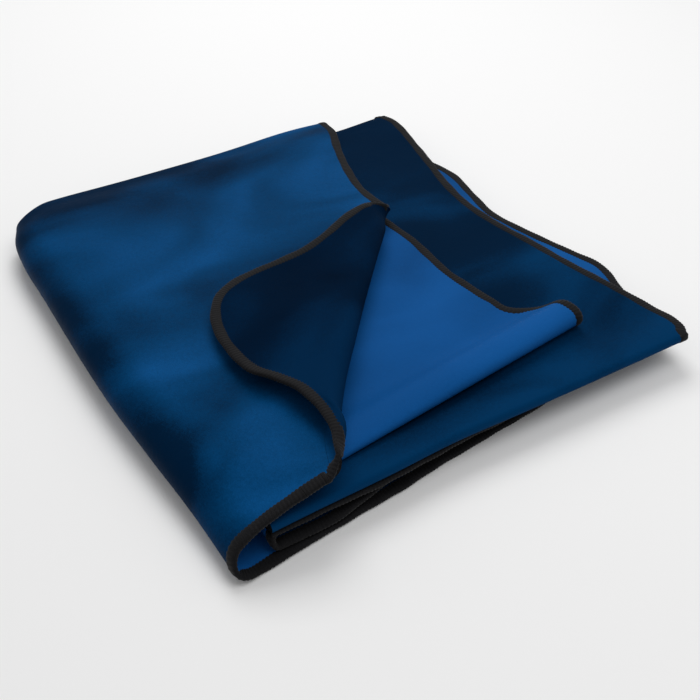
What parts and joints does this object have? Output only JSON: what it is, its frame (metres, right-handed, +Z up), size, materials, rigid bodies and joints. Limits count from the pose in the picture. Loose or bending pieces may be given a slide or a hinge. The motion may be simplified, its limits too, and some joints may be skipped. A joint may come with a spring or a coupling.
{
  "type": "folding poker table top",
  "caption": "Padded cloth card table top with a bound edge, folded into a square stack with one corner turned back.",
  "frame": {"origin": "middle of the folded stack's base, on the surface it lies on", "axes": "+X away from the left folds, +Y away from the near side, +Z up"},
  "size_m": [0.3208, 0.3368, 0.0387],
  "materials": {
    "face_cloth": "short satin pile, bright blue",
    "reverse_cloth": "dark blue brushed pile",
    "foam": "thin black closed foam",
    "edge_binding": "black overlocked thread edge"
  },
  "bodies": {
    "lower_stack": {"bottom_leaf_face_cloth": "face_cloth", "bottom_leaf_foam_core": "foam", "bottom_leaf_hem": "edge_binding", "bottom_leaf_reverse_cloth": "reverse_cloth", "far_fold_bottom": "face_cloth", "far_fold_lower": "face_cloth", "fourth_leaf_face_cloth": "face_cloth", "fourth_leaf_foam_core": "foam", "fourth_leaf_hem": "edge_binding", "fourth_leaf_reverse_cloth": "reverse_cloth", "inner_fold": "face_cloth", "inner_fold_hem": "edge_binding", "inner_fold_lining": "face_cloth", "outer_fold": "face_cloth", "outer_fold_hem": "edge_binding", "outer_fold_lining": "face_cloth", "right_fold": "face_cloth", "right_fold_hem": "edge_binding", "right_fold_lining": "face_cloth", "second_leaf_face_cloth": "face_cloth", "second_leaf_foam_core": "foam", "second_leaf_hem": "edge_binding", "second_leaf_reverse_cloth": "reverse_cloth", "third_leaf_face_cloth": "face_cloth", "third_leaf_foam_core": "foam", "third_leaf_hem": "edge_binding", "third_leaf_reverse_cloth": "reverse_cloth"},
    "middle_leaves": {"far_fold_middle": "face_cloth", "middle_leaf_face_cloth": "face_cloth", "middle_leaf_foam_core": "foam", "middle_leaf_hem": "edge_binding", "middle_leaf_reverse_cloth": "reverse_cloth", "under_leaf_face_cloth": "face_cloth", "under_leaf_foam_core": "foam", "under_leaf_hem": "edge_binding", "under_leaf_reverse_cloth": "reverse_cloth"},
    "top_leaves": {"corner_fold": "face_cloth", "curled_edge": "face_cloth", "far_fold_top": "face_cloth", "top_leaf_face_cloth": "face_cloth", "top_leaf_foam_core": "foam", "top_leaf_hem_1": "edge_binding", "top_leaf_hem_2": "edge_binding", "top_leaf_reverse_cloth": "reverse_cloth", "upper_inner_leaf_face_cloth": "face_cloth", "upper_inner_leaf_foam_core": "foam", "upper_inner_leaf_hem": "edge_binding", "upper_inner_leaf_reverse_cloth": "reverse_cloth"},
    "corner_flap": {"corner_flap_face_cloth": "face_cloth", "corner_flap_foam_core": "foam", "corner_flap_hem": "edge_binding", "corner_flap_reverse_cloth": "reverse_cloth"}
  },
  "joints": [
    {"name": "outer_fold_open", "type": "hinge", "parent": "lower_stack", "child": "top_leaves", "pos_m": [-0.1456, 0, 0.01485], "axis": [0, -1, 0], "range_deg": [0, 150], "deforming": ["outer_fold", "outer_fold_hem", "outer_fold_lining"]},
    {"name": "inner_fold_open", "type": "hinge", "parent": "lower_stack", "child": "middle_leaves", "pos_m": [-0.1276, 0, 0.01275], "axis": [0, -1, 0], "range_deg": [0, 120], "deforming": ["inner_fold", "inner_fold_hem", "inner_fold_lining"]},
    {"name": "corner_unfold", "type": "hinge", "parent": "top_leaves", "child": "corner_flap", "pos_m": [0.0644, 0.0296, 0.033], "axis": [0.6139, 0.7894, 0], "range_deg": [0, 170], "deforming": ["corner_fold"]}
  ],
  "couplings": [
    {"joint": "inner_fold_open", "follows": "outer_fold_open", "ratio": 0.8}
  ]
}
